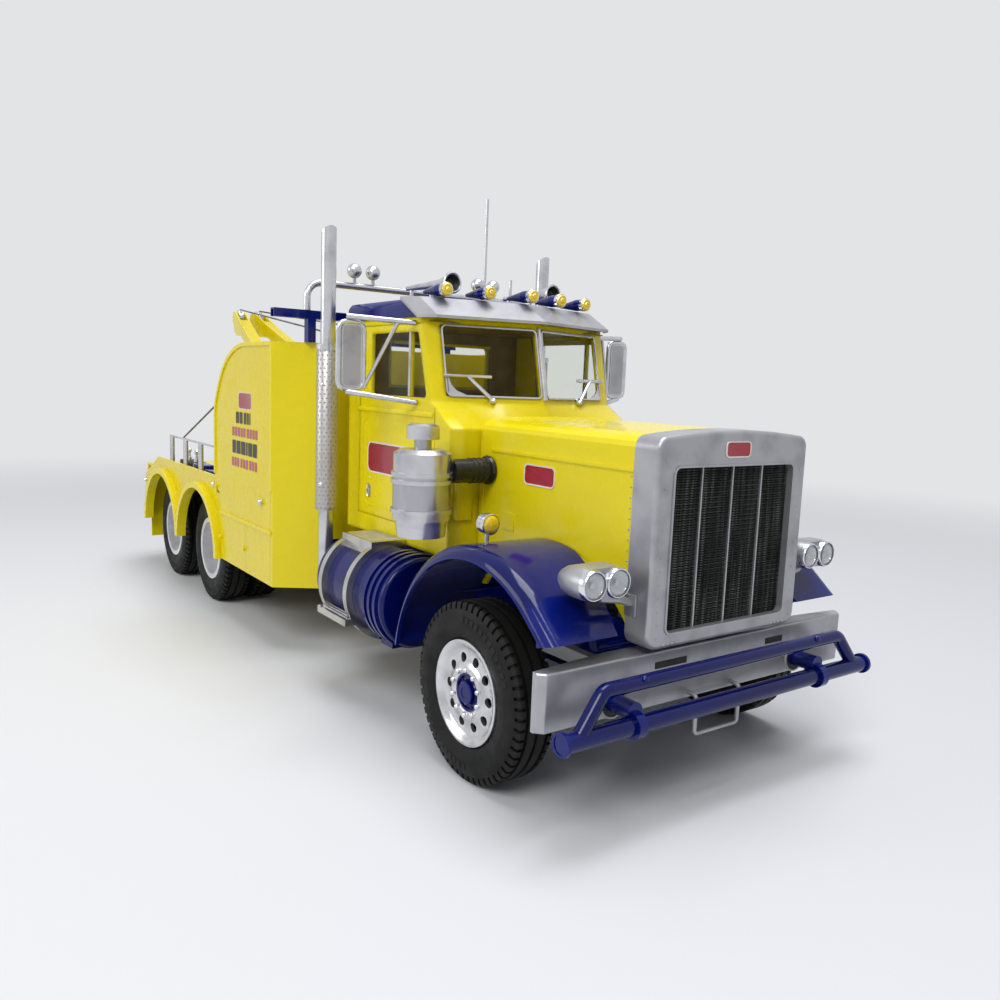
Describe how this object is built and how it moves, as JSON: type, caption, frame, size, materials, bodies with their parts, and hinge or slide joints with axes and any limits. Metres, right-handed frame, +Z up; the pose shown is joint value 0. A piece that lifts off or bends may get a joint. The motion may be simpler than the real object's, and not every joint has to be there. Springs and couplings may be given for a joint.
{
  "type": "scale model tow truck",
  "caption": "Hand-built long-nose heavy tow truck model with a tilting hood, steering, rolling wheels, tall tool boxes and twin recovery booms that swing.",
  "frame": {"origin": "on the ground below the middle of the whole model's bounding box", "axes": "+X forward to the push bumper, +Y to the truck's left, +Z up"},
  "size_m": [0.3202, 0.108, 0.1556],
  "materials": {
    "body_yellow": "gloss",
    "trim_blue": "gloss",
    "silver": "satin",
    "chrome": "polished",
    "black_mesh": "matt",
    "glass": "clear",
    "tyre_black": "matt",
    "rubber_black": "satin",
    "interior": "matt",
    "amber": "clear gloss",
    "red_lamp": "clear gloss",
    "lens": "clear gloss",
    "engine_grey": "satin",
    "rim_silver": "satin"
  },
  "bodies": {
    "truck": {"air_cleaners": "silver", "body_bulkhead": "body_yellow", "cab_glass": "glass", "cab_interior": "interior", "cab_roof": "trim_blue", "cab_shell": "body_yellow", "chassis_frame": "trim_blue", "cross_beam": "trim_blue", "deck": "body_yellow", "engine": "engine_grey", "exhausts": "chrome", "front_axle": "trim_blue", "front_bumper": "silver", "front_fenders": "trim_blue", "fuel_tanks": "trim_blue", "intake_elbows": "rubber_black", "lamp_bar": "chrome", "marker_lamps": "trim_blue", "mast": "trim_blue", "mirrors": "chrome", "mud_flaps": "body_yellow", "push_bumper": "trim_blue", "rear_axles": "trim_blue", "rear_fenders": "body_yellow", "roof_horns": "chrome", "side_boxes": "body_yellow", "side_rails": "silver", "sun_visor": "silver", "tail_board": "body_yellow", "tail_lamps": "red_lamp", "tank_steps": "silver", "turn_lamps": "chrome", "winches": "trim_blue", "wipers": "silver"},
    "front_end": {"hood": "body_yellow", "grille_shell": "silver", "grille": "black_mesh", "headlamp_pods": "chrome", "headlamp_lenses": "lens"},
    "steering_left": {"knuckle_left": "trim_blue"},
    "steering_right": {"knuckle_right": "trim_blue"},
    "track_rod": {"tie_rod": "trim_blue"},
    "front_wheel_left": {"front_rim_left": "rim_silver", "front_tyre_left": "tyre_black"},
    "front_wheel_right": {"front_rim_right": "rim_silver", "front_tyre_right": "tyre_black"},
    "mid_wheels_left": {"mid_rims_left": "rim_silver", "mid_tyres_left": "tyre_black"},
    "mid_wheels_right": {"mid_rims_right": "rim_silver", "mid_tyres_right": "tyre_black"},
    "rear_wheels_left": {"rear_rims_left": "rim_silver", "rear_tyres_left": "tyre_black"},
    "rear_wheels_right": {"rear_rims_right": "rim_silver", "rear_tyres_right": "tyre_black"},
    "left_boom": {"boom_left": "body_yellow", "boom_sheave_left": "chrome", "topping_line_left": "chrome"},
    "right_boom": {"boom_right": "body_yellow", "boom_sheave_right": "chrome", "topping_line_right": "chrome"}
  },
  "joints": [
    {"name": "hood_tilt", "type": "hinge", "parent": "truck", "child": "front_end", "pos_m": [0.1509, 0, 0.0362], "axis": [0, 1, 0], "range_deg": [0, 60]},
    {"name": "steer_left", "type": "hinge", "parent": "truck", "child": "steering_left", "pos_m": [0.1189, 0.0334, 0.0185], "axis": [0, 0, 1], "range_deg": [-28, 28]},
    {"name": "steer_right", "type": "hinge", "parent": "truck", "child": "steering_right", "pos_m": [0.1189, -0.0334, 0.0185], "axis": [0, 0, 1], "range_deg": [-28, 28]},
    {"name": "track_rod_pivot", "type": "hinge", "parent": "steering_left", "child": "track_rod", "pos_m": [0.1123, 0.0334, 0.014], "axis": [0, 0, 1], "range_deg": [-28, 28]},
    {"name": "front_wheel_spin_left", "type": "hinge", "parent": "steering_left", "child": "front_wheel_left", "pos_m": [0.1189, 0.0423, 0.0211], "axis": [0, 1, 0], "continuous": true},
    {"name": "front_wheel_spin_right", "type": "hinge", "parent": "steering_right", "child": "front_wheel_right", "pos_m": [0.1189, -0.0423, 0.0211], "axis": [0, 1, 0], "continuous": true},
    {"name": "mid_wheels_spin_left", "type": "hinge", "parent": "truck", "child": "mid_wheels_left", "pos_m": [-0.0703, 0.0351, 0.0211], "axis": [0, 1, 0], "continuous": true},
    {"name": "mid_wheels_spin_right", "type": "hinge", "parent": "truck", "child": "mid_wheels_right", "pos_m": [-0.0703, -0.0351, 0.0211], "axis": [0, 1, 0], "continuous": true},
    {"name": "rear_wheels_spin_left", "type": "hinge", "parent": "truck", "child": "rear_wheels_left", "pos_m": [-0.1231, 0.0351, 0.0211], "axis": [0, 1, 0], "continuous": true},
    {"name": "rear_wheels_spin_right", "type": "hinge", "parent": "truck", "child": "rear_wheels_right", "pos_m": [-0.1231, -0.0351, 0.0211], "axis": [0, 1, 0], "continuous": true},
    {"name": "left_boom_swing", "type": "hinge", "parent": "truck", "child": "left_boom", "pos_m": [-0.0141, 0.022, 0.057], "axis": [0, 0, -1], "range_deg": [0, 18]},
    {"name": "right_boom_swing", "type": "hinge", "parent": "truck", "child": "right_boom", "pos_m": [-0.0141, -0.022, 0.057], "axis": [0, 0, 1], "range_deg": [0, 18]}
  ],
  "couplings": [
    {"joint": "steer_right", "follows": "steer_left", "ratio": 1},
    {"joint": "track_rod_pivot", "follows": "steer_left", "ratio": -1}
  ]
}
